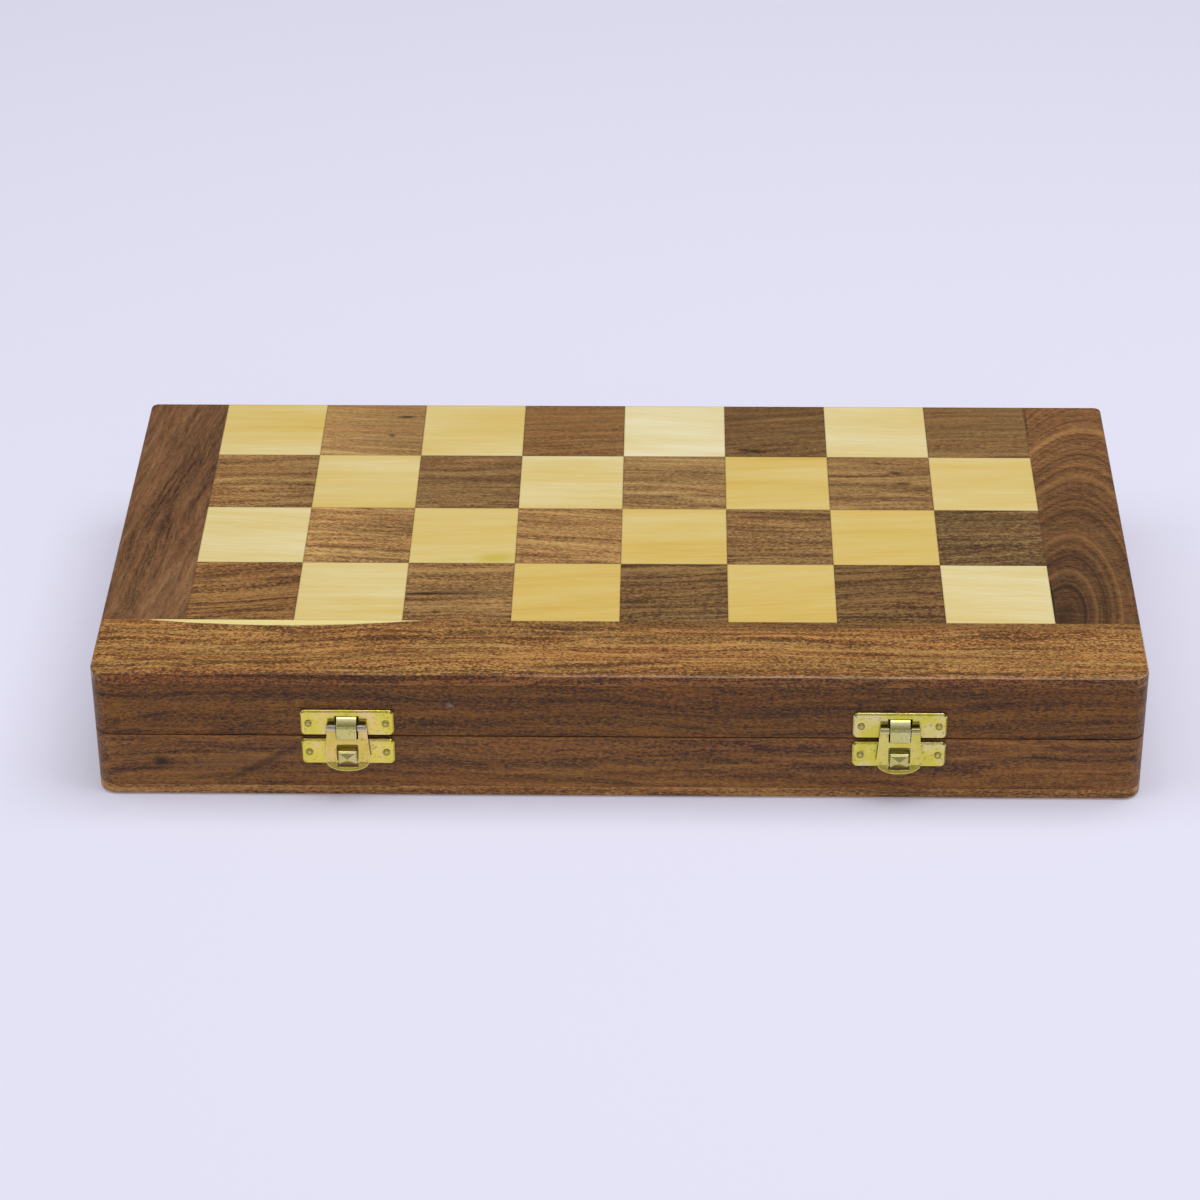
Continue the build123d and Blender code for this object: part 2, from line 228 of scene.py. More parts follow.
def square_by_square(tree, mm, draw):
    """The point in the square's own bit of the log, its chances, and how much of the glue line is there."""
    corner = add(tree, "VectorMath", {0: mm, 1: (board_low.x, board_low.y, 0)}, operation="SUBTRACT")
    count = add(tree, "VectorMath", {0: corner, 1: (1 / square, 1 / square, 0)}, operation="MULTIPLY")
    cell = add(tree, "VectorMath", {0: count}, operation="FLOOR")
    drawn = add(tree, "VectorMath", {0: cell, 1: draw}, operation="ADD")
    chance = add(tree, "TexWhiteNoise", {"Vector": drawn}, noise_dimensions="3D")
    jump = add(tree, "VectorMath", {0: chance.outputs["Color"], 1: far_apart}, operation="MULTIPLY")
    turn = add(tree, "MapRange", {0: chance.outputs["Value"], 3: -most_turned, 4: most_turned})
    moved = add(tree, "VectorMath", {0: mm, 1: jump}, operation="ADD")
    wood = add(tree, "VectorRotate", {"Vector": moved, "Angle": turn}, rotation_type="Z_AXIS")
    inside = add(tree, "VectorMath", {0: count}, operation="FRACTION")
    inside = add(tree, "VectorMath", {0: inside, 1: (0.5, 0.5, 0)}, operation="SUBTRACT")
    inside = add(tree, "VectorMath", {0: inside}, operation="ABSOLUTE")
    sides = add(tree, "SeparateXYZ", {0: inside})
    rim = add(tree, "Math", {0: sides.outputs[0], 1: sides.outputs[1]}, operation="MAXIMUM")
    start, full = 0.5 - glue_from / square, 0.5 - glue_full / square
    return wood, chance, add(tree, "MapRange", {0: rim, 1: start, 2: full, 3: 0, 4: 1})


# %% [markdown]
# ### Knots, cracks and streaks
#
# A knot or a dark streak is a soft ellipse at a place of its own. A Mapping node of the texture kind moves
# the point into the ellipse's own directions and divides it by the half sizes, so the ellipse becomes a ball
# of radius one. The mark is full inside a third of that radius and has faded out a little beyond it.

# %% Marks at their places
top_mm, through_the_top = 42, 30
front_mm, through_the_front = -78, 60


def on_top(x, y, turn, half_long, half_wide, strength):
    """A mark in the top face, in millimetres and degrees, deep enough to go right through the board."""
    return (x, y, top_mm), (0, 0, turn), (half_long, half_wide, through_the_top), strength


def on_front(x, z, tilt, half_long, half_high, strength):
    """A mark in the face of a front rail."""
    return (x, front_mm, z), (0, tilt, 0), (half_long, through_the_front, half_high), strength


def blemishes(tree, mm, marks):
    """How strongly any of the marks is there: 0 beside them, up to their own strength in the middle."""
    total = None
    for centre, turn, half_sizes, strength in marks:
        turn = [math.radians(a) for a in turn]
        ellipse = {"Vector": mm, "Location": centre, "Rotation": turn, "Scale": half_sizes}
        near = add(tree, "Mapping", ellipse, vector_type="TEXTURE")
        away = add(tree, "VectorMath", {0: near}, operation="LENGTH").outputs["Value"]
        mark = add(tree, "MapRange", {0: away, 1: 1.25, 2: 0.35, 3: 0, 4: strength})
        total = mark if total is None else add(tree, "Math", {0: total, 1: mark}, operation="MAXIMUM")
    return total


# %% [markdown]
# ## Sheesham, the brown wood
#
# The rails, borders and dark squares are an Indian rosewood-like timber, planed, sanded and given a satin
# lacquer. The lacquer lets the figure show deep and warm, with a soft sheen that breaks up over the open
# pores. Each board is cut from a log, so its figure is a slice through growth rings: the distance from the
# heart of the log, bent a little by a slow noise, drives light and dark bands. Streaks, fine fibres and
# short open pores run along the grain.

# %% Satin lacquer
def satin_lacquer(tree, shader, colour, relief, rough=0.42, depth=0.02):
    """Finish shared by all the woods: a thin satin film that sinks a little into the open grain, where it
    is less shiny. It is rubbed down, so it mirrors less than a full gloss coat. Depth is in millimetres."""
    rougher = add(tree, "MapRange", {0: relief, 3: rough + 0.14, 4: rough})
    bump = add(tree, "Bump", {"Height": relief, "Strength": 0.4, "Distance": depth * MM})
    feed(tree, shader, {"Base Color": colour, "Roughness": rougher, "Normal": bump,
                        "Specular IOR Level": 0.3})


# %% The log that a board is cut from
slow_bend = (0.012, 0.035, 0.035)
along_the_log = 131.0


def round_the_heart(tree, wood, turn, heart, seed, sway):
    """The point in the log's own directions, bent by slow noise, and its distance from the heart. The bends
    are about 80 mm long along the grain and 30 mm across."""
    log = add(tree, "Mapping", {"Vector": wood, "Rotation": (0, 0, math.radians(-turn)),
                                "Location": (seed * along_the_log - heart[0], -heart[1], -heart[2])})
    slow = add(tree, "Mapping", {"Vector": log, "Scale": slow_bend})
    bend = add(tree, "TexNoise", {"Vector": slow, "Scale": 1, "Detail": 2, "Roughness": 0.5})
    bend = add(tree, "VectorMath", {0: bend.outputs["Color"], 1: (0.5, 0.5, 0.5)}, operation="SUBTRACT")
    bend = add(tree, "VectorMath", {0: bend, 1: (0, sway * 4, sway * 4)}, operation="MULTIPLY")
    fibre = add(tree, "VectorMath", {0: log, 1: bend}, operation="ADD")
    across = add(tree, "VectorMath", {0: fibre, 1: (0, 1, 1)}, operation="MULTIPLY")
    return fibre, add(tree, "VectorMath", {0: across}, operation="LENGTH").outputs["Value"]


def grain_layers(tree, point, tone, layers, roughness):
    """Adds layers of noise to a tone, each given by its cells per millimetre along and across the grain, its
    detail and its strength. Returns the new tone and the last layer, which can serve as relief."""
    for scale, detail, strength in layers:
        grain = add(tree, "Mapping", {"Vector": point, "Scale": scale})
        noise = {"Vector": grain, "Scale": 1, "Detail": detail, "Roughness": roughness}
        grain = add(tree, "TexNoise", noise)
        grain = add(tree, "Math", {0: grain, 1: 0.5}, operation="SUBTRACT")
        tone = add(tree, "Math", {0: grain, 1: strength, 2: tone}, operation="MULTIPLY_ADD")
    return tone, grain


# %% Hue streaks and pores
redder, more_olive = (1.09, 0.955, 0.9), (0.93, 1.04, 1.02)


def red_and_olive(tree, fibre, run, hues, colour):
    """Streaks 60 mm long and 3 mm wide that only change hue: heartwood is redder in some years and more
    olive in others."""
    streak = add(tree, "Mapping", {"Vector": fibre, "Location": (310, 170, 50),
                                   "Scale": (0.016 / run, 0.3, 0.3)})
    streak = add(tree, "TexNoise", {"Vector": streak, "Scale": 1, "Detail": 3})
    streak = add(tree, "MapRange", {0: streak, 1: 0.34, 2: 0.66, 3: 0.5 - hues / 2, 4: 0.5 + hues / 2})
    red = add(tree, "VectorMath", {0: colour, 1: redder}, operation="MULTIPLY")
    olive = add(tree, "VectorMath", {0: colour, 1: more_olive}, operation="MULTIPLY")
    return add(tree, "Mix", {0: streak, 6: olive, 7: red}, data_type="RGBA").outputs[2]


def open_pores(tree, fibre, band, run):
    """Short dark vessels along the grain, closer together in the pale early part of a year. A real one is a
    tenth of a millimetre wide. It is drawn 0.4 mm wide and 2 mm long, as fine as still shows."""
    vessels = add(tree, "Mapping", {"Vector": fibre, "Scale": (0.32 / run, 1.5, 1.5)})
    vessels = add(tree, "TexVoronoi", {"Vector": vessels, "Scale": 1}, feature="F1").outputs["Distance"]
    pore = add(tree, "MapRange", {0: vessels, 1: 0.16, 2: 0.32, 3: 1, 4: 0})
    early = add(tree, "MapRange", {0: band, 1: 0.36, 2: 0.58, 3: 0.85, 4: 0.2125})
    return add(tree, "Math", {0: pore, 1: early}, operation="MULTIPLY")


# %% [markdown]
# ### One function for every brown board
#
# All the brown boards share one recipe, and each has its own numbers. The growth rings give the first tone.
# Three layers go on top: streaks some 70 mm long and 2 mm wide, fibres, and broad clouds. Real fibres are a
# few hundredths of a millimetre wide, far too fine to show, so they are drawn as flecks 0.45 mm wide and a
# millimetre or two long. A ramp turns the tone into four browns. Pores, knots and glue lines then darken it.

# %% Sheesham
ramp_places = (0.2, 0.42, 0.58, 0.84)
front_row_y, back_row_y = -49, 79


def figure_of_rows(tree, mm, chance, front, back):
    """The contrast of a square: from the front row to the back row, and calmer in the paler squares."""
    y = add(tree, "SeparateXYZ", {0: mm}).outputs[1]
    contrast = add(tree, "MapRange", {0: y, 1: front_row_y, 2: back_row_y, 3: front, 4: back})
    calmer = add(tree, "MapRange", {0: chance.outputs["Value"], 3: 1.18, 4: 0.8})
    return add(tree, "Math", {0: contrast, 1: calmer}, operation="MULTIPLY")


def lacquered_sheesham(name, tones, turn=0.0, heart=(0, -30, -60), seed=0.0, rings=4.0, sway=3.0, run=1.0,
                       bands=0.8, streaks=1.5, fibres=1.4, fleck=0.8, clouds=0.2, hues=0.45, draw=None,
                       marks=(), growth=None, finish=None, figured=None):
    """One board. Its tones run from dark to light, its grain is turned by so many degrees, and the heart of
    its log lies so many millimetres from the middle of the case. A seed moves it along the log, rings is the
    width of a year and sway the bend of the log, both in millimetres, and run shortens all the streaks.
    Bands, streaks, fibres, clouds and hues are strengths, and fleck is in cells per millimetre. Squares also
    have a draw, for their chances, and a contrast in front and at the back. Growth stands in for round
    rings, and a finish comes last, under the lacquer."""
    material, tree, shader = new_material(name)
    mm = in_millimetres(tree)
    wood, chance, glue = square_by_square(tree, mm, draw) if draw else (mm, None, None)
    fibre, radius = round_the_heart(tree, wood, turn, heart, seed, sway)
    if growth:
        radius = growth(tree, mm)
    years = add(tree, "Math", {0: radius, 1: 1 / rings}, operation="MULTIPLY")
    band = add(tree, "TexNoise", {"W": years, "Scale": 1, "Detail": 5, "Roughness": 0.62},
               noise_dimensions="1D")
    tone = add(tree, "MapRange", {0: band, 3: 0.5 - bands / 2, 4: 0.5 + bands / 2}, clamp=False)
    layers = (((0.014 / run, 0.5, 0.5), 5, streaks), ((fleck, 2.2, 2.2), 2, fibres),
              ((0.012, 0.05, 0.05), 1, clouds))
    tone = grain_layers(tree, fibre, tone, layers, roughness=0.78)[0]
    pores = open_pores(tree, fibre, band, run)
    if figured:
        contrast = figure_of_rows(tree, mm, chance, *figured)
        tone = add(tree, "Math", {0: tone, 1: 0.5}, operation="SUBTRACT")
        tone = add(tree, "Math", {0: tone, 1: contrast, 2: 0.5}, operation="MULTIPLY_ADD")
        softer = add(tree, "Math", {0: contrast, 1: 1.1}, operation="MINIMUM")
        pores = add(tree, "Math", {0: pores, 1: softer}, operation="MULTIPLY")
    browns = add(tree, "ValToRGB", {0: tone}, ramp=(ramp_places, tones))
    colour = red_and_olive(tree, fibre, run, hues, browns)
    shade = pores
    if marks:
        shade = add(tree, "Math", {0: shade, 1: blemishes(tree, mm, marks)}, operation="MAXIMUM")
    if draw:
        glue = add(tree, "Math", {0: glue, 1: 0.45}, operation="MULTIPLY")
        shade = add(tree, "Math", {0: shade, 1: glue}, operation="MAXIMUM")
    darkest = linear(tones[0], 0.35)
    colour = add(tree, "Mix", {0: shade, 6: colour, 7: darkest}, data_type="RGBA").outputs[2]
    if finish:
        colour = finish(tree, mm, chance, colour)
    relief = add(tree, "Math", {0: 1.0, 1: pores}, operation="SUBTRACT")
    satin_lacquer(tree, shader, colour, relief)
    return material


# %% [markdown]
# ### Rails
#
# The upper and lower front rails are two boards of different logs, so each has its own heart and tones. The
# lower one has a knot near its left end, with a wavy dark band and a golden swirl beside it, and the upper
# one has a pale scuff in its lacquer. The side rails are the same timber turned by a quarter, so their ends
# meet the front rail as real butt joints do.

# %% Pale patches
def pale_patches(patches):
    """A finish that lightens a board in soft ellipses: each patch is a mark and its tone."""
    def finish(tree, mm, chance, colour):
        for mark, tone in patches:
            spot = blemishes(tree, mm, [mark])
            colour = add(tree, "Mix", {0: spot, 6: colour, 7: linear(tone)}, data_type="RGBA").outputs[2]
        return colour
    return finish


# %% Front rails
upper_tones = ("#392105", "#653D0B", "#774814", "#936017")
upper_marks = [on_front(-134, 28.4, -8, 6.5, 0.7, 0.75), on_front(20, 29, 2, 40, 0.8, 0.35),
               on_front(70, 34, -2, 22, 0.7, 0.45)]
scuff = pale_patches([(on_front(-48.7, 32.1, 30, 1.5, 0.6, 0.6), "#93847C")])
upper_rail = lacquered_sheesham("lacquered_sheesham_upper_rail", upper_tones, heart=(0, -52, -8), seed=1,
                                rings=6, fibres=2.0, marks=upper_marks, finish=scuff)
dress(upper_rail, "lid_front_rail")

lower_tones = ("#44280D", "#784C1E", "#8E5C25", "#A97631")
lower_marks = [on_front(-133.6, 11.8, 0, 2.6, 2.0, 0.9), on_front(-105.5, 10.5, -30, 15, 1.3, 0.65),
               on_front(-118, 6.9, -8, 9, 1.1, 0.45)]
swirl = pale_patches([(on_front(-115, 11.2, -6, 13, 2.6, 0.45), "#8A6230"),
                      (on_front(-124, 7.5, 0, 9, 1.2, 0.3), "#8A6230")])
lower_rail = lacquered_sheesham("lacquered_sheesham_lower_rail", lower_tones, heart=(0, -60, 30), seed=2,
                                rings=7, fibres=1.3, marks=lower_marks, finish=swirl)
dress(lower_rail, "base_front_rail")

# %% Rear and side rails
rear_rails = lacquered_sheesham("lacquered_sheesham_rear_rails", lower_tones, heart=(0, 40, -70), seed=3)
dress(rear_rails, "lid_rear_rail", "base_rear_rail")
side_rails = lacquered_sheesham("lacquered_sheesham_side_rails", upper_tones, turn=90, heart=(0, 100, -90),
                                seed=4)
dress(side_rails, "lid_left_rail", "lid_right_rail", "base_left_rail", "base_right_rail")

# %% [markdown]
# ### Front border
#
# The front border is a warmer board, with a sliver of pale sapwood left along its joint with the squares.
# Sapwood is the young outer wood of the log, so the sliver is what lies outside a slightly curved line.
# Its front face and rounded corner are painted darker, as shade, and a highlight is painted pale along the
# crest of that corner in places.

# %% Front border
# The second colour is a painted highlight on the crest of the front corner.
sapwood, arris_highlight = "#E8D890", "#E8CDB8"
sliver_middle, sliver_half_sizes = (-99, -49.5, 0), (41, 2.9, 1)
edge_starts_y, edge_full_y, crest_z = -77.7, -78.4, 42.2
# How much the painted shade darkens the front face and its rounded corner, per channel.
edge_shade_tint = (0.74, 0.58, 0.34)


def sapwood_sliver(tree, mm, wave, colour):
    """The sliver lies along the joint. Its side in the board bows like a parabola, and the wave bends it."""
    ellipse = {"Vector": mm, "Location": sliver_middle, "Scale": sliver_half_sizes}
    near = add(tree, "SeparateXYZ", {0: add(tree, "Mapping", ellipse, vector_type="TEXTURE")})
    bow = add(tree, "Math", {0: near.outputs[0], 1: near.outputs[0]}, operation="MULTIPLY")
    reach = add(tree, "Math", {0: bow, 1: near.outputs[1]}, operation="SUBTRACT")
    reach = add(tree, "Math", {0: wave, 1: 0.5, 2: reach}, operation="MULTIPLY_ADD")
    pale = add(tree, "MapRange", {0: reach, 1: 1.30, 2: 1.18, 3: 0, 4: 0.95})
    return add(tree, "Mix", {0: pale, 6: colour, 7: linear(sapwood)}, data_type="RGBA").outputs[2]


def shaded_edge_and_arris_highlight(tree, mm, wave, colour):
    """The front face and rounded corner, darkened as painted shade, and a highlight painted pale along the
    right part of the crest.
    """
    place = add(tree, "SeparateXYZ", {0: mm})
    edge = add(tree, "MapRange", {0: place.outputs[1], 1: edge_full_y, 2: edge_starts_y, 3: 1, 4: 0})
    shaded = add(tree, "VectorMath", {0: colour, 1: edge_shade_tint}, operation="MULTIPLY")
    # Painted shade on the front face and the rounded corner.
    colour = add(tree, "Mix", {0: edge, 6: colour, 7: shaded}, data_type="RGBA").outputs[2]
    crest = folded(tree, place.outputs[2], [crest_z])
    crest = add(tree, "MapRange", {0: crest, 1: 0.05, 2: 0.2, 3: 1, 4: 0})
    right_part = add(tree, "MapRange", {0: place.outputs[0], 1: -40, 2: -10, 3: 0, 4: 0.5})
    painted_pale = add(tree, "Math", {0: crest, 1: right_part}, operation="MULTIPLY")
    painted_pale = add(tree, "Math", {0: painted_pale, 1: wave}, operation="MULTIPLY")
    # Painted highlight along the crest.
    return add(tree, "Mix", {0: painted_pale, 6: colour, 7: linear(arris_highlight)}, data_type="RGBA").outputs[2]


def sapwood_shade_and_highlight(tree, mm, chance, colour):
    """One slow wave makes both the sliver and the painted highlight on the crest uneven."""
    wave = add(tree, "Mapping", {"Vector": mm, "Scale": (0.06, 0.02, 0.02)})
    wave = add(tree, "TexNoise", {"Vector": wave, "Scale": 1, "Detail": 2})
    return shaded_edge_and_arris_highlight(tree, mm, wave, sapwood_sliver(tree, mm, wave, colour))


front_tones = ("#523419", "#84562E", "#9A6C37", "#BB8D51")
front_marks = [on_top(-62, -58, 4, 30, 0.6, 0.5), on_top(-96, -62, 8, 34, 0.55, 0.45),
               on_top(66, -52.5, 0, 60, 0.8, 0.35), on_top(-104, -61, 1, 9, 0.7, 0.5),
               on_top(-92, -58.2, 1, 10, 0.6, 0.5), on_top(-67, -59.5, 3, 14, 0.8, 0.55),
               on_top(-59, -68.5, 2, 9, 0.6, 0.45), on_top(-140, -66, 0, 12, 0.9, 0.4),
               on_top(-8, -56.5, 2, 16, 0.6, 0.45), on_top(46, -51, 0, 140, 3.4, 0.42)]
front_border = lacquered_sheesham("lacquered_sheesham_front_border", front_tones, heart=(0, -95, 20), seed=5,
                                  rings=5, sway=4, streaks=2.3, fibres=2.7, fleck=0.95, hues=0.8,
                                  marks=front_marks, finish=sapwood_shade_and_highlight)
dress(front_border, "lid_front_border")

base_front_tones = ("#6F481F", "#A27039", "#B37E44", "#CD9B56")
base_front_border = lacquered_sheesham("lacquered_sheesham_base_front_border", base_front_tones, seed=11,
                                       heart=(0, -60, 70), rings=5, streaks=1.7, fibres=2.0, hues=0.8)
dress(base_front_border, "base_front_border")

# %% [markdown]
# ### Left and right borders
#
# The left border has short fuzzy streaks that lie at a slight angle to its sides. The right one was sawn
# through the foot of a branch: its rings close round an eye near the front corner and open out towards the
# back. Round rings can't do that, so its distance from the heart is worked out anew: across the border a
# millimetre counts about three times over, and more so the further it is from the eye.

# %% Left border
left_tones = ("#382115", "#65452A", "#775335", "#926A46")
left_border = lacquered_sheesham("lacquered_sheesham_left_border", left_tones, turn=81, heart=(0, 60, -60),
                                 seed=6, rings=3, run=0.4, bands=0.25, streaks=1.4, fibres=0.8, fleck=0.3,
                                 clouds=0.6)
dress(left_border, "lid_left_border", "base_left_border")

# %% Right border
line_x, line_y, lean, eye_y = 133, -28, 0.14, -46
wave_size, wave_height = 20.0, 2.0
round_core, across_counts, opening = 16.0, 7, 1 / 16


def round_the_branch(tree, mm):
    """Distance from the eye as the rings count it. Their middle line leans a little on its way back."""
    wave = add(tree, "Mapping", {"Vector": mm, "Scale": (1 / wave_size,) * 3})
    wave = add(tree, "TexNoise", {"Vector": wave, "Scale": 1, "Detail": 3})
    place = add(tree, "SeparateXYZ", {0: mm})
    back = add(tree, "Math", {0: place.outputs[1], 1: eye_y}, operation="SUBTRACT")
    back = add(tree, "Math", {0: wave, 1: wave_height, 2: back}, operation="MULTIPLY_ADD")
    middle = {0: place.outputs[1], 1: -lean, 2: lean * line_y - line_x}
    middle = add(tree, "Math", middle, operation="MULTIPLY_ADD")
    side = add(tree, "Math", {0: place.outputs[0], 1: middle}, operation="ADD")
    side_squared = add(tree, "Math", {0: side, 1: side}, operation="MULTIPLY")
    back_squared = add(tree, "Math", {0: back, 1: back}, operation="MULTIPLY")
    far = add(tree, "Math", {0: back_squared, 1: round_core}, operation="ADD")
    far = add(tree, "Math", {0: far}, operation="SQRT")
    counts = add(tree, "Math", {0: far, 1: opening, 2: across_counts}, operation="MULTIPLY_ADD")
    total = add(tree, "Math", {0: side_squared, 1: counts, 2: back_squared}, operation="MULTIPLY_ADD")
    return add(tree, "Math", {0: total}, operation="SQRT")


# Distance from the eye and half width in millimetres, strength and tone: five dark rings, four golden ones.
ring_lines = ((0, 9, 0.6, "#2E150C"), (18, 2.4, 0.75, "#24120A"), (35, 1.8, 0.75, "#24120A"),
              (61, 2.2, 0.5, "#2A170C"), (95, 2.8, 0.4, "#2A170C"), (27, 2.0, 0.2, "#C08C50"),
              (47, 2.2, 0.22, "#C08C50"), (82, 2.6, 0.28, "#C08C50"), (112, 3.0, 0.35, "#CC9C5C"))


def dark_and_golden_rings(tree, mm, chance, colour):
    """The wood is dark round the eye and paler outwards, and a few rings stand out from the rest."""
    radius = round_the_branch(tree, mm)
    shade = add(tree, "MapRange", {0: radius, 1: 10, 2: 110, 3: 0.58, 4: 1.38})
    colour = add(tree, "VectorMath", {0: colour, "Scale": shade}, operation="SCALE")
    for distance, half_wide, strength, tone in ring_lines:
        line = folded(tree, radius, [distance])
        line = add(tree, "MapRange", {0: line, 1: 0, 2: half_wide, 3: strength, 4: 0})
        colour = add(tree, "Mix", {0: line, 6: colour, 7: linear(tone)}, data_type="RGBA").outputs[2]
    return colour


right_tones = ("#3C230B", "#5E3F24", "#74502E", "#92693E")
right_marks = [on_top(128.2, -36, 90, 14, 0.4, 0.9), on_top(128.4, 68, 90, 12, 0.3, 0.7)]
right_border = lacquered_sheesham("lacquered_sheesham_right_border", right_tones, seed=7, rings=2.6, run=0.2,
                                  bands=0.58, streaks=0.6, fibres=1.2, fleck=0.6, marks=right_marks,
                                  growth=round_the_branch, finish=dark_and_golden_rings)
dress(right_border, "lid_right_border", "base_right_border")

# %% [markdown]
# ### Dark squares
#
# The dark squares are offcuts of many boards. Two random numbers for each square move it between dark and
# light brown and between greyish and reddish, as the heartwood of one log differs from the next.

# %% Dark squares
darkest_square, lightest_square = 0.66, 1.5
reddish, greyish = (1.06, 0.92, 0.84), (0.95, 1.05, 1.16)
# Axis, where it starts and ends in millimetres, and the two strengths: paler at the left, and darker in
# front, which is painted shade.
pale_left_and_shaded_front = ((0, -128, -72, 1.5, 1.0), (1, -20, -15, 0.88, 1.0))


def own_tone(tree, mm, chance, colour):
    """Lightens or darkens and reddens or greys each square by its chances, and by where it lies."""
    numbers = add(tree, "SeparateColor", {0: chance.outputs["Color"]}).outputs
    light = add(tree, "MapRange", {0: numbers[0], 3: darkest_square, 4: lightest_square})
    place = add(tree, "SeparateXYZ", {0: mm})
    for axis, start, stop, low, high in pale_left_and_shaded_front:
        # The darker front row is painted shade.
        place_tone = add(tree, "MapRange", {0: place.outputs[axis], 1: start, 2: stop, 3: low, 4: high})
        light = add(tree, "Math", {0: light, 1: place_tone}, operation="MULTIPLY")
    toned = add(tree, "VectorMath", {0: colour, "Scale": light}, operation="SCALE")
    red = add(tree, "VectorMath", {0: toned, 1: reddish}, operation="MULTIPLY")
    grey = add(tree, "VectorMath", {0: toned, 1: greyish}, operation="MULTIPLY")
    return add(tree, "Mix", {0: numbers[1], 6: grey, 7: red}, data_type="RGBA").outputs[2]


square_tones = ("#56391E", "#7C5A34", "#906B3E", "#A98550")
square_marks = [on_top(-70, 70.9, 0, 3.2, 0.9, 0.9), on_top(-62, 71.5, 0, 5, 0.5, 0.6),
                on_top(-74, 59, -20, 1.6, 1.0, 0.7), on_top(-47.8, 70.4, 0, 3.0, 1.0, 0.8),
                on_top(38.3, 50.8, 0, 2.2, 1.0, 0.85), on_top(41.5, 50.2, 0, 1.8, 1.2, 0.8),
                on_top(79.4, 43, 0, 1.8, 0.6, 0.6), on_top(85.1, 36.9, 0, 2.6, 1.1, 0.8),
                on_top(87.2, 30.2, 0, 3.0, 1.2, 0.7), on_top(-54.6, -44.8, 0, 1.4, 0.9, 0.85),
                on_top(-57.5, -34.6, 1, 8, 1.1, 0.9), on_top(-49, -34.2, 1, 17, 1.5, 0.6)]
offcut = {"heart": (0, 10, -80), "rings": 3, "bands": 0.6, "finish": own_tone, "figured": (1.8, 0.52)}
lid_squares = lacquered_sheesham("lacquered_sheesham_lid_squares", square_tones, draw=(2084, 2228, 10),
                                 seed=8, marks=square_marks, **offcut)
dress(lid_squares, "lid_dark_squares")
base_squares = lacquered_sheesham("lacquered_sheesham_base_squares", square_tones, draw=(71, 33, 4), seed=9,
                                  **offcut)
dress(base_squares, "base_dark_squares")

# %% [markdown]
# ## Boxwood, the yellow wood
#
# The light squares are a dense, almost poreless yellow timber under the same satin lacquer, so they look
# smooth, with a low silky sheen. Real ones differ most in tone from square to square, so a random number for
# each square moves it between gold and cream. Three layers follow: broad clouds 14 mm wide, soft streaks
# 3 mm wide, and a faint fibre. The real fibre is too fine to show, so it is drawn 0.6 mm wide.

# %% Boxwood
boxwood_tones = ("#CCA952", "#D3B561", "#D8C17D", "#DFD09D", "#E4DAB3")
boxwood_layers = (((0.014, 0.07, 0.07), 1, 0.8), ((0.012, 0.3, 0.3), 3, 0.45), ((0.08, 1.6, 1.6), 2, 0.45))


def lacquered_boxwood(name, draw, marks=()):
    """The light squares of one tray. A draw is for their chances, and the marks are knots."""
    material, tree, shader = new_material(name)
    mm = in_millimetres(tree)
    wood, chance, glue = square_by_square(tree, mm, draw)
    tone = add(tree, "MapRange", {0: chance.outputs["Value"], 3: 0.12, 4: 0.84})
    tone, fibre = grain_layers(tree, wood, tone, boxwood_layers, roughness=0.5)
    colour = add(tree, "ValToRGB", {0: tone}, ramp=((0, 0.2, 0.5, 0.8, 1), boxwood_tones))
    glue = add(tree, "Math", {0: glue, 1: 0.35}, operation="MULTIPLY")
    colour = add(tree, "Mix", {0: glue, 6: colour, 7: linear("#6E5530")}, data_type="RGBA").outputs[2]
    if marks:
        spot = blemishes(tree, mm, marks)
        colour = add(tree, "Mix", {0: spot, 6: colour, 7: linear("#C2AC3A")}, data_type="RGBA").outputs[2]
    satin_lacquer(tree, shader, colour, fibre, rough=0.4, depth=0.006)
    return material


green_knot = [on_top(-38, -14.5, 8, 7, 3.2, 0.75), on_top(-50, -15.5, 3, 9, 1.6, 0.25)]
dress(lacquered_boxwood("lacquered_boxwood_lid_squares", (332, 1707, 6), green_knot), "lid_light_squares")
dress(lacquered_boxwood("lacquered_boxwood_base_squares", (12, 51, 3)), "base_light_squares")

# %% [markdown]
# ## Brass, steel and plywood
#
# The latches are thin steel sheet, brass plated, cut and bent in a press. Plating over rolled sheet is
# almost a mirror, so it takes most of its look from the pale floor and the dark wood round it. The press
# leaves it faintly wavy, like orange skin, which breaks its reflections up. The plating is cloudy, and
# shifts between lemon and copper on one latch and towards green on the other. Shade is painted into the
# corners, as a ring round each nail and into the slots of the screws, and every edge is painted pale as a
# highlight.

# %% Where the latches are
latch_boxes = [[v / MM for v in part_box(f"{side}_catch_plate")] for side in ("left", "right")]
latch_xs = [(low.x + high.x) / 2 for low, high in latch_boxes]
between, apart = sum(latch_xs) / 2, (latch_xs[1] - latch_xs[0]) / 2
print("latches at x, mm:", [round(x, 2) for x in latch_xs])

# %% Painted shade on a latch
# All in millimetres. A nail lies so far out from the middle of a latch, and so far above or below nails_z.
nail_out, nails_z, nails_up, head_radius = 11.25, 21.2, 5.0, 0.8
facet_top_z, facet_height, facet_half_wide = 17.35, 1.8, 2.35


def painted_shadow_round_nails(tree, mm):
    """How dark the plate is by its distance from the nearest nail: a ring of shadow is painted round the
    head.
    """
    place = add(tree, "SeparateXYZ", {0: mm})
    across = folded(tree, place.outputs[0], [between, apart, nail_out])
    height = folded(tree, place.outputs[2], [nails_z, nails_up])
    flat = add(tree, "CombineXYZ", {0: across, 1: height})
    away = add(tree, "VectorMath", {0: flat}, operation="LENGTH").outputs["Value"]
    ring = folded(tree, away, [head_radius])
    # A painted shadow ring round each nail head.
    return add(tree, "MapRange", {0: ring, 1: 0.05, 2: 0.35, 3: 0.7, 4: 0})


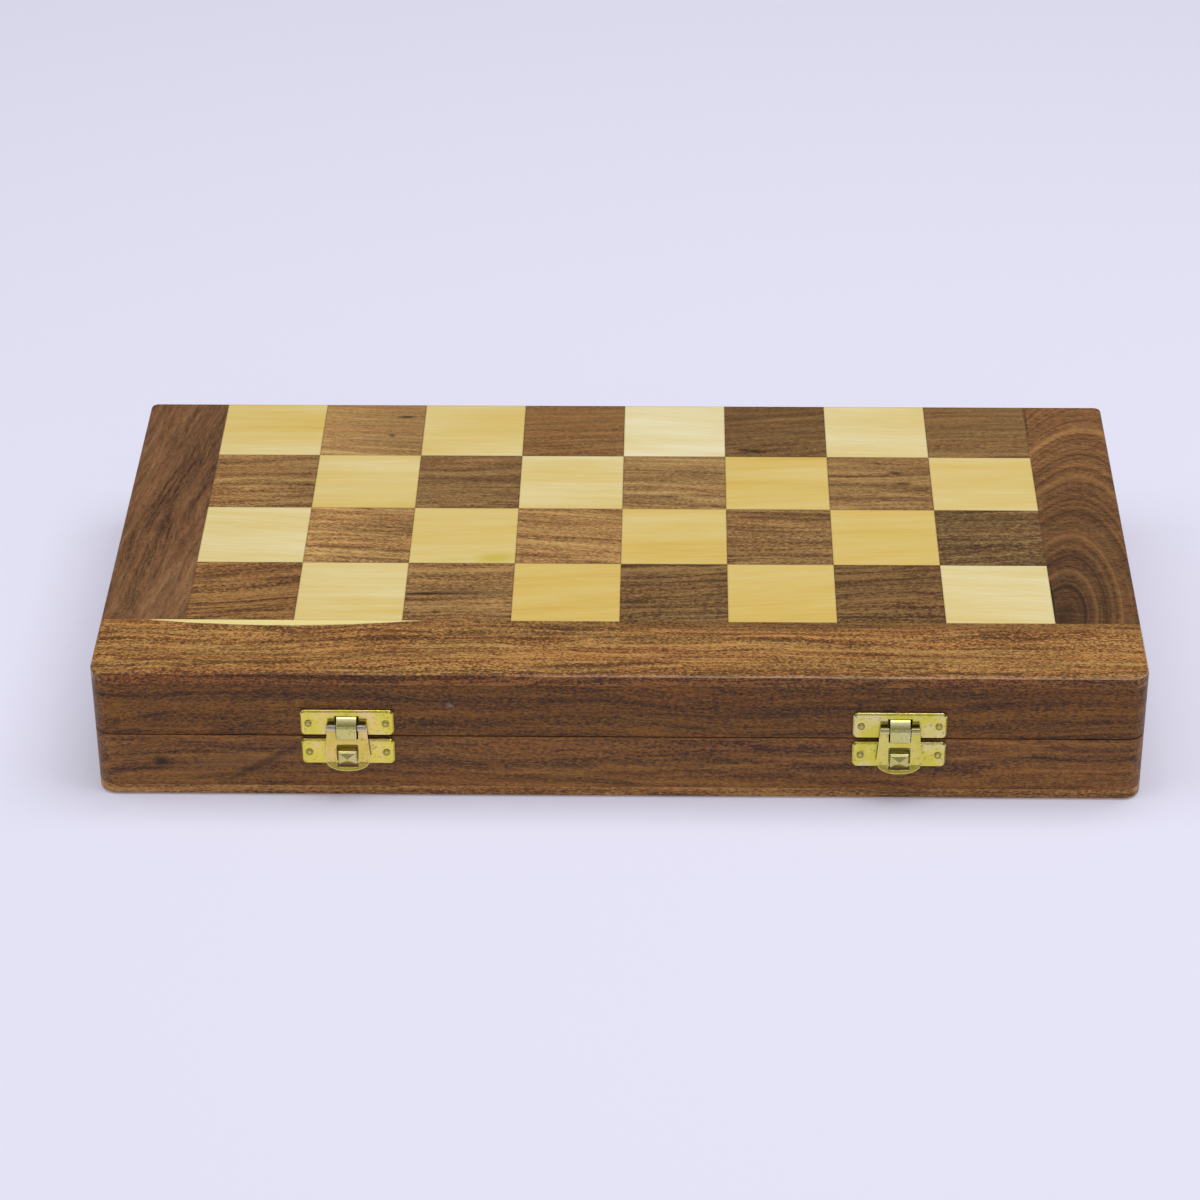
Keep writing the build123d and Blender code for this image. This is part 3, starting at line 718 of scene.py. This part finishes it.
def painted_dark_facet(tree, mm):
    """The V-shaped facet of a nose is painted darker, as a painted dark reflection."""
    place = add(tree, "SeparateXYZ", {0: mm})
    across = folded(tree, place.outputs[0], [between, apart])
    drop = {0: place.outputs[2], 1: -1 / facet_height, 2: facet_top_z / facet_height}
    drop = add(tree, "Math", drop, operation="MULTIPLY_ADD")
    reach = add(tree, "Math", {0: across, 1: 1 / facet_half_wide, 2: drop}, operation="MULTIPLY_ADD")
    # Painted dark reflection in the V-shaped facet.
    within = add(tree, "MapRange", {0: reach, 1: 0.9, 2: 1.02, 3: 0.5, 4: 0})
    under = add(tree, "MapRange", {0: drop, 1: -0.04, 2: 0.04, 3: 0, 4: 1})
    proud = add(tree, "MapRange", {0: place.outputs[1], 1: -80.4, 2: -80.8, 3: 0, 4: 1})
    within = add(tree, "Math", {0: within, 1: under}, operation="MULTIPLY")
    return add(tree, "Math", {0: within, 1: proud}, operation="MULTIPLY")


# %% Painted shade on a hinge, and spots and painted shade in general
hinge_x, screw_out, screw_y, screw_radius = 101.0, 7.5, 73.75, 1.6
slot_turn = 0.5
slot_side = (math.cos(slot_turn), math.sin(slot_turn), 0)
corner_shade_reach = 1.6 * MM


def painted_slots_and_seat_shade(tree, mm):
    """The slot of each hinge screw and the fine ring where its head sits in the leaf, both painted dark as
    shade.
    The folds make the slots of neighbouring screws mirror images of each other."""
    place = add(tree, "SeparateXYZ", {0: mm})
    across = folded(tree, place.outputs[0], [0.0, hinge_x])
    across = add(tree, "Math", {0: across, 1: screw_out}, operation="SUBTRACT")
    along = add(tree, "Math", {0: place.outputs[1], 1: screw_y}, operation="SUBTRACT")
    flat = add(tree, "CombineXYZ", {0: across, 1: along})
    away = add(tree, "VectorMath", {0: flat}, operation="LENGTH").outputs["Value"]
    seat = folded(tree, away, [screw_radius])
    # Painted shade in the ring where a screw head sits, and in its slot below.
    seat = add(tree, "MapRange", {0: seat, 1: 0.08, 2: 0.2, 3: 0.9, 4: 0})
    turned = add(tree, "VectorMath", {0: flat, 1: slot_side}, operation="DOT_PRODUCT")
    slot = folded(tree, turned.outputs["Value"], [0.0])
    slot = add(tree, "MapRange", {0: slot, 1: 0.2, 2: 0.3, 3: 1, 4: 0})
    inside = add(tree, "MapRange", {0: away, 1: 1.5, 2: 1.6, 3: 1, 4: 0})
    slot = add(tree, "Math", {0: slot, 1: inside}, operation="MULTIPLY")
    return add(tree, "Math", {0: seat, 1: slot}, operation="MAXIMUM")


def spots_and_corner_shade(tree, mm):
    """Cloudy spots a millimetre wide, and painted shade in every corner where another face is within reach.
    """
    spots = add(tree, "TexNoise", {"Vector": mm, "Scale": 1.1, "Detail": 3})
    spots = add(tree, "MapRange", {0: spots, 1: 0.58, 2: 0.72, 3: 0, 4: 0.45})
    # Ambient occlusion paints shade into corners and into gaps between parts.
    corners = add(tree, "AmbientOcclusion", {"Distance": corner_shade_reach}, samples=8).outputs["AO"]
    corners = add(tree, "MapRange", {0: corners, 1: 0.35, 2: 0.85, 3: 0.9, 4: 0})
    return add(tree, "Math", {0: spots, 1: corners}, operation="MAXIMUM")


# %% [markdown]
# ### Where the brass is painted paler, darker or with highlights
#
# A plate has a tongue, bent forwards over a round tool. Its upper end bows, and the bow catches the light; a
# highlight is also painted into the colour of its upper bend.
# A lever has two rolled ears at its pin, a dark crown above them, and a lip at the bottom that a finger
# lifts.

# %% The tongue of a plate
# From where to where each effect grows, in millimetres. y falls towards the camera, and z is up.
stands_out_y, paler_y = (-79.9, -80.2), (-80.3, -81.0)
highlight_bend_z, bow_z, bow_height = (27.0, 28.2), (27.8, 30.6), 6.5
# The first tone paints the tongue paler where it stands out; the second is a painted highlight for its bend.
paler_tongue_tone, painted_bend_highlight = "#C4C49A", "#F4E8B4"


def on_the_tongue(tree, place):
    """1 where a plate stands out from the rail, which only its tongue does, and 0 on its flat."""
    return add(tree, "MapRange", {0: place.outputs[1], 1: stands_out_y[0], 2: stands_out_y[1], 3: 0, 4: 1})


def bowed_tongue(tree, mm):
    """Height that the bow adds to the tongue, as a number from 0 to 1 for the bump."""
    place = add(tree, "SeparateXYZ", {0: mm})
    bow = {0: place.outputs[2], 1: bow_z[0], 2: bow_z[1], 3: 1, 4: 0}
    bow = add(tree, "MapRange", bow, interpolation_type="SMOOTHSTEP")
    return add(tree, "Math", {0: bow, 1: on_the_tongue(tree, place)}, operation="MULTIPLY")


def paler_tongue_and_bend_highlight(tree, mm, colour, dull_and_shaded):
    """The tongue is painted paler where it stands out furthest, and its upper bend is palest, with a painted
    highlight and less of the spots and painted shade.
    """
    place = add(tree, "SeparateXYZ", {0: mm})
    painted_pale = add(tree, "MapRange", {0: place.outputs[1], 1: paler_y[0], 2: paler_y[1], 3: 0, 4: 0.5})
    colour = add(tree, "Mix", {0: painted_pale, 6: colour, 7: linear(paler_tongue_tone)}, data_type="RGBA").outputs[2]
    bend = add(tree, "MapRange", {0: place.outputs[2], 1: highlight_bend_z[0], 2: highlight_bend_z[1], 3: 0, 4: 0.85})
    bend = add(tree, "Math", {0: bend, 1: on_the_tongue(tree, place)}, operation="MULTIPLY")
    # Painted highlight in the upper bend of the tongue.
    colour = add(tree, "Mix", {0: bend, 6: colour, 7: linear(painted_bend_highlight)}, data_type="RGBA").outputs[2]
    less_dirt_and_shade = add(tree, "Math", {0: 1.0, 1: bend}, operation="SUBTRACT")
    return colour, add(tree, "Math", {0: dull_and_shaded, 1: less_dirt_and_shade}, operation="MULTIPLY"), bend


# %% Lever zones, and painted edge highlights
# The height where each zone starts and is full, in millimetres, and its tone.
ears, crown, lip = (24.4, 25.0, "#CFC8BC"), (26.3, 26.6, "#3A3220"), (14.1, 12.2, "#E4CE50")
# The pale tone painted along edges as a highlight.
edge_highlight_tone = "#FAF3B4"


def worn_and_painted_lever(tree, mm, ear_wear_and_sheen, colour):
    """The ears are painted pale steel, partly as worn plating and partly as a painted reflection; the crown
    above them is darker, and the lip a more saturated yellow.
    """
    height = add(tree, "SeparateXYZ", {0: mm}).outputs[2]
    for (start, full, tone), strength in ((ears, ear_wear_and_sheen), (crown, 0.75), (lip, 0.8)):
        # Painted zones: pale ears, partly a painted reflection; a darker crown; a yellower lip.
        zone = add(tree, "MapRange", {0: height, 1: start, 2: full, 3: 0, 4: strength})
        colour = add(tree, "Mix", {0: zone, 6: colour, 7: linear(tone)}, data_type="RGBA").outputs[2]
    return colour


def painted_edge_highlights(tree, rounded, colour):
    """A Bevel node turns the normal near an edge away from the face, which shows where the edges are. There
    the colour is painted pale, as a highlight.
    """
    face = add(tree, "NewGeometry").outputs["True Normal"]
    square_on = add(tree, "VectorMath", {0: face, 1: rounded}, operation="DOT_PRODUCT").outputs["Value"]
    # Painted highlight along every edge.
    edge = add(tree, "MapRange", {0: square_on, 1: 0.98, 2: 0.86, 3: 0, 4: 0.75})
    return add(tree, "Mix", {0: edge, 6: colour, 7: linear(edge_highlight_tone)}, data_type="RGBA").outputs[2]


# %% Pressed brass
# A real orange skin is a few tenths of a millimetre wide, which would not show, so it is drawn 1.4 mm wide.
# The dirt colours also carry the painted shade in corners, round nails, in facets and in slots.
dirt_and_shade_on_latches, dirt_and_shade_on_hinges = "#6B5A24", "#2E2410"
rounded_edge, skin_width, skin_depth = 0.3 * MM, 1 / 0.7, 0.05 * MM


def pressed_brass(name, tones, rough=0.2, seed=0.0, cloud=6.0, nailed=False, screwed=False, ear_wear_and_sheen=0.0):
    """Tones from one side of the clouds to the other, the size of a cloud in millimetres, and how strongly
    the rolled ears of a lever are painted pale, as worn plating and as a painted reflection."""
    material, tree, shader = new_material(name)
    mm = in_millimetres(tree)
    clouds = add(tree, "Mapping", {"Vector": mm, "Location": (seed, 0, 0), "Scale": (1 / cloud,) * 3})
    clouds = add(tree, "TexNoise", {"Vector": clouds, "Scale": 1, "Detail": 3})
    colour = add(tree, "ValToRGB", {0: clouds}, ramp=((0.36, 0.5, 0.64), tones))
    dull_and_shaded = spots_and_corner_shade(tree, mm)
    if nailed:
        colour, dull_and_shaded, bend = paler_tongue_and_bend_highlight(tree, mm, colour, dull_and_shaded)
        dull_and_shaded = add(tree, "Math", {0: dull_and_shaded, 1: painted_shadow_round_nails(tree, mm)}, operation="MAXIMUM")
        dull_and_shaded = add(tree, "Math", {0: dull_and_shaded, 1: painted_dark_facet(tree, mm)}, operation="MAXIMUM")
    if screwed:
        dull_and_shaded = add(tree, "Math", {0: dull_and_shaded, 1: painted_slots_and_seat_shade(tree, mm)}, operation="MAXIMUM")
    dirt_and_shade = linear(dirt_and_shade_on_hinges if screwed else dirt_and_shade_on_latches)
    # Real spots and painted shade darken the brass here.
    colour = add(tree, "Mix", {0: dull_and_shaded, 6: colour, 7: dirt_and_shade}, data_type="RGBA").outputs[2]
    rounded = add(tree, "Bevel", {"Radius": rounded_edge}, samples=8)
    if ear_wear_and_sheen:
        colour = worn_and_painted_lever(tree, mm, ear_wear_and_sheen, colour)
    if nailed or ear_wear_and_sheen:
        colour = painted_edge_highlights(tree, rounded, colour)
    skin = add(tree, "TexNoise", {"Vector": mm, "Scale": 1 / skin_width, "Detail": 2})
    gloss = add(tree, "MapRange", {0: dull_and_shaded, 3: rough, 4: rough + 0.2})
    if nailed:
        bow = bowed_tongue(tree, mm)
        skin = add(tree, "Math", {0: bow, 1: bow_height, 2: skin}, operation="MULTIPLY_ADD")
        gloss = add(tree, "Math", {0: bend, 1: 0.15, 2: gloss}, operation="MULTIPLY_ADD")
    bump = {"Height": skin, "Strength": 0.35, "Distance": skin_depth, "Normal": rounded}
    bump = add(tree, "Bump", bump)
    feed(tree, shader, {"Base Color": colour, "Normal": bump, "Roughness": gloss, "Metallic": 1.0})
    return material


# %% Latches
lemon_to_copper, lemon_to_green = ("#E0D250", "#E9D660", "#EFD288"), ("#D4CA4C", "#DCCE5C", "#E2D48C")
dress(pressed_brass("pressed_brass_plated_steel_left_plates", lemon_to_copper, seed=2.0, nailed=True),
      "left_lever_plate", "left_catch_plate")
coppery = ("#DEC45C", "#E8CA6C", "#ECC98C")
dress(pressed_brass("pressed_brass_plated_steel_left_lever", coppery, ear_wear_and_sheen=0.85), "left_latch_lever")
dress(pressed_brass("pressed_brass_plated_steel_right_plates", lemon_to_green, seed=4.0, nailed=True),
      "right_lever_plate", "right_catch_plate")
greenish = ("#D2C84C", "#DACC5C", "#DED070")
dress(pressed_brass("pressed_brass_plated_steel_right_lever", greenish, seed=7.0, ear_wear_and_sheen=0.4),
      "right_latch_lever")

# %% Nail heads, hinges and axles
# The heads are struck in a die, which leaves them rougher than sheet. The hinges are solid brass and have
# not been polished since they were pressed, so they are browner and less shiny. The axles are steel wire,
# and wire that is drawn through a hole stays bright.
nail_tones = ("#BEB050", "#C8B85C", "#D2C26A")
dress(pressed_brass("stamped_brass_nail_heads", nail_tones, rough=0.35, cloud=1.0, nailed=True),
      "base_catch_nails", "lid_plate_nails")
hinge_tones = ("#C09A50", "#CEAA5C", "#DABA6C")
leaves = [f"{side}_hinge_{leaf}" for side in ("left", "right") for leaf in ("base_leaf", "lid_leaf", "pin")]
dress(pressed_brass("pressed_brass_hinges", hinge_tones, rough=0.34, cloud=3.0, screwed=True),
      *leaves, "base_hinge_screws", "lid_hinge_screws")
wire_tones = ("#B9B9B4", "#C8C8C4", "#D6D6D2")
dress(pressed_brass("drawn_steel_wire", wire_tones, rough=0.25, cloud=2.0),
      "left_lever_axle", "right_lever_axle")

# %% Sanded plywood
# Birch veneer is peeled off a turning log, so its figure is long and faint. It is sanded and left without
# lacquer, so it looks matt and a little dusty.
plywood, tree, shader = new_material("sanded_birch_plywood")
grain = add(tree, "Mapping", {"Vector": in_millimetres(tree), "Scale": (0.01, 0.5, 2.0)})
grain = add(tree, "TexNoise", {"Vector": grain, "Scale": 1, "Detail": 4})
veneer = add(tree, "ValToRGB", {0: grain}, ramp=((0.35, 0.65), ("#B48F60", "#D6B98A")))
feed(tree, shader, {"Base Color": veneer, "Roughness": 0.7})
dress(plywood, "lid_backing_panel", "base_backing_panel")

# %% [markdown]
# ## Felt lining
#
# Each tray is lined with wool felt: one sheet on the bottom, and one strip that goes round the four walls.
# The sheet starts as a grid at its cut size, gets its thickness, and then a slow unevenness of about a tenth
# of a millimetre on the side that is seen. The strip starts as the inner outline of the tray: its corners
# are rounded, its edges are drawn up the wall, and it gets its thickness inwards. Their edges are softened,
# because felt has no sharp edge.

# %% Felt material
# Wool fibres are pressed into a mat with no weave, so felt has no gloss, only a soft sheen where the light
# grazes it. A fibre is a few hundredths of a millimetre thick, so tufts half a millimetre wide stand for it.
felt, tree, shader = new_material("green_wool_felt_pressed")
mm = in_millimetres(tree)
fuzz = add(tree, "TexNoise", {"Vector": mm, "Scale": 2.2, "Detail": 4, "Roughness": 0.75})
wear = add(tree, "TexNoise", {"Vector": mm, "Scale": 0.04, "Detail": 3})
both = add(tree, "Math", {0: wear, 1: 0.2}, operation="MULTIPLY")
both = add(tree, "Math", {0: fuzz, 1: 0.8, 2: both}, operation="MULTIPLY_ADD")
wool = add(tree, "ValToRGB", {0: both}, ramp=((0.3, 0.5, 0.7), ("#12301F", "#1E4C33", "#2F6848")))
bump = add(tree, "Bump", {"Height": fuzz, "Strength": 0.6, "Distance": 0.15 * MM})
feed(tree, shader, {"Base Color": wool, "Normal": bump, "Roughness": 0.95, "Specular IOR Level": 0.1,
                    "Sheen Weight": 0.35, "Sheen Roughness": 0.5})

# %% Felt on the bottom of a tray
unevenness = bpy.data.textures.new("felt_unevenness", "CLOUDS")
unevenness.noise_scale = 30 * MM
grid_along, grid_across = 72, 36
# The share of its thickness that the glued sheet keeps, and the share that its unevenness takes.
pressed_share, uneven_share = 0.85, 0.25
soft_edge, softened_angle, smooth_angle = 0.3 * MM, math.radians(60), math.radians(40)


def soften(piece):
    """Rounds the edges a little: felt has no sharp edge."""
    soft = piece.modifiers.new("soft_edges", "BEVEL")
    soft.width, soft.segments = soft_edge, 2
    soft.limit_method, soft.angle_limit = "ANGLE", softened_angle
    bpy.ops.object.modifier_apply(modifier="soft_edges")
    bpy.ops.object.shade_smooth_by_angle(angle=smooth_angle)


def felt_floor(body):
    low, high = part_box(f"{body}_floor_lining")
    size, middle = high - low, (high + low) / 2
    upwards, glued = (1, low.z) if body == "base" else (-1, high.z)
    bpy.ops.object.select_all(action="DESELECT")
    bpy.ops.mesh.primitive_grid_add(x_subdivisions=grid_along, y_subdivisions=grid_across, size=1,
                                    location=(middle.x, middle.y, glued))
    piece = bpy.context.object
    piece.name = f"{body}_floor_felt"
    piece.scale = (size.x, size.y, 1)
    bpy.ops.object.transform_apply(location=True, rotation=True, scale=True)
    solid = piece.modifiers.new("thickness", "SOLIDIFY")
    solid.thickness, solid.offset = pressed_share * size.z, upwards
    bpy.ops.object.modifier_apply(modifier="thickness")
    pile = piece.vertex_groups.new(name="pile")
    level = glued + upwards * 0.5 * size.z
    seen = [v.index for v in piece.data.vertices if (v.co.z - level) * upwards > 0]
    pile.add(seen, 1.0, "REPLACE")
    rough = piece.modifiers.new("unevenness", "DISPLACE")
    rough.texture, rough.texture_coords, rough.direction = unevenness, "LOCAL", "Z"
    rough.strength, rough.mid_level = upwards * uneven_share * size.z, 0.5
    rough.vertex_group = "pile"
    bpy.ops.object.modifier_apply(modifier="unevenness")
    soften(piece)
    return piece, (size.x, size.y)


# %% Felt strip round the walls of a tray
corner_radius, corner_steps = 1.6 * MM, 4
strip_bands, strip_thickness = 4, 1.0 * MM


def felt_walls(body):
    low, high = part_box(f"{body}_wall_lining")
    size, middle = high - low, (high + low) / 2
    bpy.ops.object.select_all(action="DESELECT")
    bpy.ops.mesh.primitive_plane_add(size=1, location=(middle.x, middle.y, low.z))
    piece = bpy.context.object
    piece.name = f"{body}_wall_felt"
    piece.scale = (size.x, size.y, 1)
    bpy.ops.object.transform_apply(location=True, rotation=True, scale=True)
    bpy.ops.object.mode_set(mode="EDIT")
    bpy.ops.mesh.select_all(action="SELECT")
    bpy.ops.mesh.bevel(offset=corner_radius, segments=corner_steps, affect="VERTICES")
    bpy.ops.mesh.select_all(action="SELECT")
    bpy.ops.mesh.delete(type="ONLY_FACE")
    bpy.ops.mesh.select_all(action="SELECT")
    one_band = {"value": (0, 0, size.z / strip_bands)}
    for band in range(strip_bands):
        bpy.ops.mesh.extrude_edges_move(TRANSFORM_OT_translate=one_band)
    bpy.ops.mesh.select_all(action="SELECT")
    bpy.ops.mesh.normals_make_consistent(inside=False)
    bpy.ops.object.mode_set(mode="OBJECT")
    solid = piece.modifiers.new("thickness", "SOLIDIFY")
    solid.thickness, solid.offset, solid.use_even_offset = strip_thickness, -1, True
    bpy.ops.object.modifier_apply(modifier="thickness")
    soften(piece)
    return piece, (2 * (size.x + size.y - 2 * strip_thickness), size.z)


# %% Lay the felt in both trays
for body in ("base", "lid"):
    for part, make, held in (("floor", felt_floor, "laid"), ("wall", felt_walls, "folded")):
        piece, flat = make(body)
        piece.data.materials.append(felt)
        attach(piece, body)
        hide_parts(f"{body}_{part}_lining")
        corners = [piece.matrix_world @ Vector(c) for c in piece.bound_box]
        heights = [round(c.z / MM, 2) for c in corners]
        print(f"{piece.name}: {len(piece.data.polygons)} faces, z {min(heights)} to {max(heights)} mm,",
              f"cut {flat[0] / MM:.0f} x {flat[1] / MM:.0f} mm")
